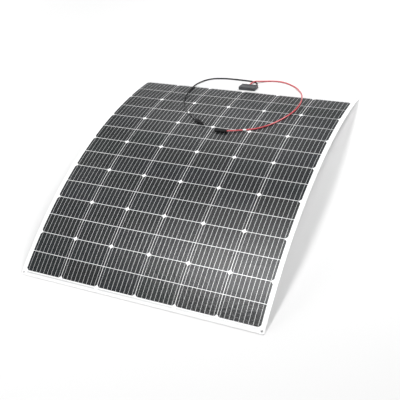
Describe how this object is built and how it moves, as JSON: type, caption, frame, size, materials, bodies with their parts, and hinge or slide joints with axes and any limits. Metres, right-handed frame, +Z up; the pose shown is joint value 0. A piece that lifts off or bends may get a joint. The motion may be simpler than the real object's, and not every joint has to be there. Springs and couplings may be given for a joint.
{
  "type": "flexible solar sheet",
  "caption": "Thin flexible photovoltaic laminate, bent to a shallow arch, with corner holes, a flat junction box and two cables that end in plug connectors.",
  "frame": {"origin": "centre of the bounding box's bottom face, on the floor under the crown of the arch, measured without the cables and connectors", "axes": "+X across the sheet to the right, +Y towards the far edge with the junction box, +Z up"},
  "size_m": [1.042, 1.2919, 0.1263],
  "materials": {
    "film": "clear embossed gloss",
    "encapsulant": "clear satin",
    "silicon": "dark textured",
    "tinned_copper": "satin",
    "backsheet": "white satin",
    "adhesive_foam": "matte",
    "box_plastic": "fine texture",
    "seal_rubber": "matte",
    "potting": "satin",
    "brass_clip": "bright",
    "diode_plastic": "matte",
    "gland_rubber": "matte",
    "black_jacket": "satin",
    "red_jacket": "satin",
    "marker_white": "matte",
    "marker_pale": "matte",
    "connector_plastic": "fine texture",
    "contact_metal": "tinned"
  },
  "bodies": {
    "far_sheet": {"front_film_rows_1_3": "film", "front_encapsulant_rows_1_3": "encapsulant", "cells_rows_1_3": "silicon", "ribbons_rows_1_3": "tinned_copper", "rear_encapsulant_rows_1_3": "encapsulant", "backsheet_rows_1_3": "backsheet", "backsheet_far_margin": "backsheet", "far_bus_ribbons": "tinned_copper", "box_lead_ribbons": "tinned_copper", "box_adhesive": "adhesive_foam", "box_base": "box_plastic", "box_seal": "seal_rubber", "box_potting": "potting", "terminal_clips": "brass_clip", "bypass_diodes": "diode_plastic", "left_gland": "gland_rubber", "right_gland": "gland_rubber", "black_cable": "black_jacket", "black_cable_marker": "marker_white", "black_connector_body": "connector_plastic", "black_connector_nut": "connector_plastic", "black_connector_seal": "seal_rubber", "black_connector_socket": "contact_metal", "red_cable": "red_jacket", "red_cable_marker": "marker_pale", "red_connector_body": "connector_plastic", "red_connector_nut": "connector_plastic", "red_connector_seal": "seal_rubber", "red_connector_pin": "contact_metal"},
    "flex_row_4": {"front_film_row_4": "film", "front_encapsulant_row_4": "encapsulant", "cells_row_4": "silicon", "ribbons_row_4": "tinned_copper", "rear_encapsulant_row_4": "encapsulant", "backsheet_row_4": "backsheet"},
    "flex_row_5": {"front_film_row_5": "film", "front_encapsulant_row_5": "encapsulant", "cells_row_5": "silicon", "ribbons_row_5": "tinned_copper", "rear_encapsulant_row_5": "encapsulant", "backsheet_row_5": "backsheet"},
    "flex_row_6": {"front_film_row_6": "film", "front_encapsulant_row_6": "encapsulant", "cells_row_6": "silicon", "ribbons_row_6": "tinned_copper", "rear_encapsulant_row_6": "encapsulant", "backsheet_row_6": "backsheet"},
    "flex_row_7": {"front_film_row_7": "film", "front_encapsulant_row_7": "encapsulant", "cells_row_7": "silicon", "ribbons_row_7": "tinned_copper", "rear_encapsulant_row_7": "encapsulant", "backsheet_row_7": "backsheet", "near_bus_ribbons": "tinned_copper"},
    "box_lid": {"box_lid": "box_plastic"}
  },
  "joints": [
    {"name": "flex_row_4", "type": "hinge", "parent": "far_sheet", "child": "flex_row_4", "pos_m": [0, 0.05994, 0.12057], "axis": [1, 0, 0], "range_deg": [-5.9, 0], "stiffness_Nm_per_rad": 300},
    {"name": "flex_row_5", "type": "hinge", "parent": "flex_row_4", "child": "flex_row_5", "pos_m": [0, -0.10784, 0.11811], "axis": [1, 0, 0], "range_deg": [-5.9, 0], "stiffness_Nm_per_rad": 300},
    {"name": "flex_row_6", "type": "hinge", "parent": "flex_row_5", "child": "flex_row_6", "pos_m": [0, -0.27447, 0.09846], "axis": [1, 0, 0], "range_deg": [-5.9, 0], "stiffness_Nm_per_rad": 300},
    {"name": "flex_row_7", "type": "hinge", "parent": "flex_row_6", "child": "flex_row_7", "pos_m": [0, -0.43822, 0.06184], "axis": [1, 0, 0], "range_deg": [-5.9, 0], "stiffness_Nm_per_rad": 300},
    {"name": "lid_lift", "type": "slide", "parent": "far_sheet", "child": "box_lid", "axis": [0, 0.362, 0.9322], "range_m": [0, 0.02]}
  ],
  "couplings": [
    {"joint": "flex_row_5", "follows": "flex_row_4", "ratio": 1},
    {"joint": "flex_row_6", "follows": "flex_row_4", "ratio": 1},
    {"joint": "flex_row_7", "follows": "flex_row_4", "ratio": 1}
  ]
}
